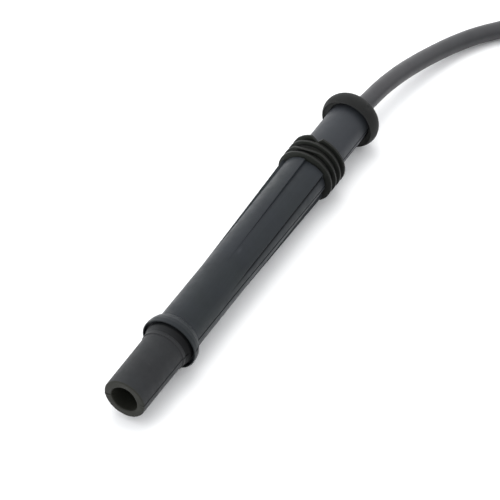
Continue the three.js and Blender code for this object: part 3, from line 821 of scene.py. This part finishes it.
def far_move(r, a, nr, na, th):
    outer = (r > 4.7) & ~((r < 5.5) & (a < 30))
    g, lip = seam(th, 8.0, 0.3)
    d = np.where(outer & (a > 0.2), -0.12 * g + 0.06 * lip + ripple(a, th, 51, 0.05, 20.0), 0.0)
    # shallow grip rings round the waist
    for k in range(5):
        d = d - np.where(outer & (a > 27) & (a < 38), 0.3 * np.exp(-(((a - 28.4 - 2.0 * k) / 0.42) ** 2)), 0.0)
    return r + nr * d, a + na * d


def far_paint(r, a, th):
    g, lip = seam(th, 8.0, 0.3)
    # painted shade along the parting line
    return {"groove": g * (r > 4.7)}


far_dense = []
for i, p in enumerate(far_profile):
    far_dense.append(p)
    q = far_profile[(i + 1) % len(far_profile)]
    if p[0] > 7.1 and 26 < p[1] < 38.2 and 26 < q[1] < 38.5:
        m = max(1, int(abs(q[1] - p[1]) / 0.2))
        far_dense += [(p[0] + (q[0] - p[0]) * j / m, p[1] + (q[1] - p[1]) * j / m, 0.0) for j in range(1, m)]
far_boot = give(lathe("far_end_boot", far_dense, CAP_ANGLES, FAR, far_move, far_paint), "far")
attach(far_boot, "root")
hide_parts("coil_boot")

far_term_profile = rounded([
    (3.1, 9.0, 0.3), (3.9, 9.0, 0.3), (3.9, 24.0, 0.2), (4.35, 24.4, 0.2), (4.35, 36.0, 0.2), (3.8, 36.0, 0.15), (3.8, 25.5, 0.2),
    (0.3, 25.5, 0.0), (0.3, 23.0, 0.0), (3.1, 23.0, 0.3),
], n=3, longest=1.2)
far_term = give(lathe("far_end_terminal", far_term_profile, angle_set(64), FAR), "brass")
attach(far_term, "root")
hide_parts("coil_terminal")

# ---------------------------------------------------------------- strap round the coil
tie_verts, tie_faces = [], []
ring = []
hw, hh, rc = 3.5 + 0.45, 7.0 + 0.5, 3.4  # half sizes of the strap's middle line, and its corner radius
for cx, cz, a0 in ((hw - rc, hh - rc, 0), (-(hw - rc), hh - rc, 90), (-(hw - rc), -(hh - rc), 180), (hw - rc, -(hh - rc), 270)):
    for j in range(13):
        t = math.radians(a0 + 90 * j / 12)
        ring.append((cx + rc * math.cos(t), cz + rc * math.sin(t), math.cos(t), math.sin(t)))
section = [(-2.4, -0.3), (-2.25, -0.45), (2.25, -0.45), (2.4, -0.3), (2.4, 0.3), (2.25, 0.45), (0.5, 0.45), (-0.5, 0.45), (-2.25, 0.45), (-2.4, 0.3)]
ns = len(section)
for (x, z, nx, nz) in ring:
    for (y, t) in section:
        tie_verts.append((x + nx * t, y, z + nz * t))
nr_ = len(ring)
for i in range(nr_):
    for j in range(ns):
        tie_faces.append((i * ns + j, i * ns + (j + 1) % ns, ((i + 1) % nr_) * ns + (j + 1) % ns, ((i + 1) % nr_) * ns + j))
TIE = (
    Matrix.Scale(MM, 4)
    @ Matrix.Translation((COIL_X, COIL_Y, 0))
    @ Matrix.Rotation(math.radians(TIE_ANGLE), 4, "Z")
    @ Matrix.Translation((COIL_R, 0, 7.0 + 1.0))
)
tie = give(finish_mesh("coil_strap", tie_verts, tie_faces, TIE, {"edge": [1.0 if abs(s[0]) > 2.2 and s[1] > 0 else 0.0 for _ in ring for s in section]}, None, 50.0), "tie")
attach(tie, "root")
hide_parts("coil_tie")

# ---------------------------------------------------------------- floor, light
floor_mesh = bpy.data.meshes.new("floor")
S = 6.0
floor_mesh.from_pydata([(-S, -S, 0), (S, -S, 0), (S, S, 0), (-S, S, 0)], [], [(0, 1, 2, 3)])
floor = bpy.data.objects.new("floor", floor_mesh)
bpy.context.scene.collection.objects.link(floor)
fm = bpy.data.materials.new("pale floor")
fm.use_nodes = True
fb = fm.node_tree.nodes["Principled BSDF"]
fb.inputs["Base Color"].default_value = (0.92, 0.925, 0.93, 1.0)
fb.inputs["Roughness"].default_value = 0.7
fb.inputs["Specular IOR Level"].default_value = 0.1
floor.data.materials.append(fm)
floor.location.z = -0.0002

world = bpy.data.worlds.new("studio")
bpy.context.scene.world = world
world.use_nodes = True
wn = world.node_tree
wn.nodes.clear()
wo = wn.nodes.new("ShaderNodeOutputWorld")
fill = wn.nodes.new("ShaderNodeBackground")
fill.inputs["Color"].default_value = (0.985, 0.99, 1.0, 1.0)
fill.inputs["Strength"].default_value = 1.45
# a little brighter on the left and at the rear
where = wn.nodes.new("ShaderNodeTexCoord")
lean = wn.nodes.new("ShaderNodeVectorMath")
lean.operation = "DOT_PRODUCT"
lean.inputs[1].default_value = (-0.30, 0.12, 0.0)
wn.links.new(where.outputs["Generated"], lean.inputs[0])
grow = wn.nodes.new("ShaderNodeMath")
grow.operation = "MULTIPLY_ADD"
grow.inputs[1].default_value = 1.45
grow.inputs[2].default_value = 1.45
wn.links.new(lean.outputs["Value"], grow.inputs[0])
wn.links.new(grow.outputs["Value"], fill.inputs["Strength"])
wn.links.new(fill.outputs["Background"], wo.inputs["Surface"])


def area(name, loc, target, size, size_y, watts, color=(1, 1, 1)):
    d = bpy.data.lights.new(name, "AREA")
    d.shape = "RECTANGLE"
    d.size, d.size_y = size, size_y
    d.energy = watts
    d.color = color
    o = bpy.data.objects.new(name, d)
    bpy.context.scene.collection.objects.link(o)
    o.location = loc
    o.rotation_euler = (Vector(target) - Vector(loc)).to_track_quat("-Z", "Y").to_euler()
    return o


# a soft window from the upper left and rear; it gives shade and shadow, the studio gives the reflections
key = area("key", (-0.20, 0.30, 1.02), (0, 0, 0), 0.60, 0.60, 3.6, (1.0, 0.99, 0.97))
key.visible_glossy = False

bpy.context.scene.view_settings.view_transform = "Standard"
bpy.context.scene.view_settings.look = "None"

bpy.context.view_layer.update()
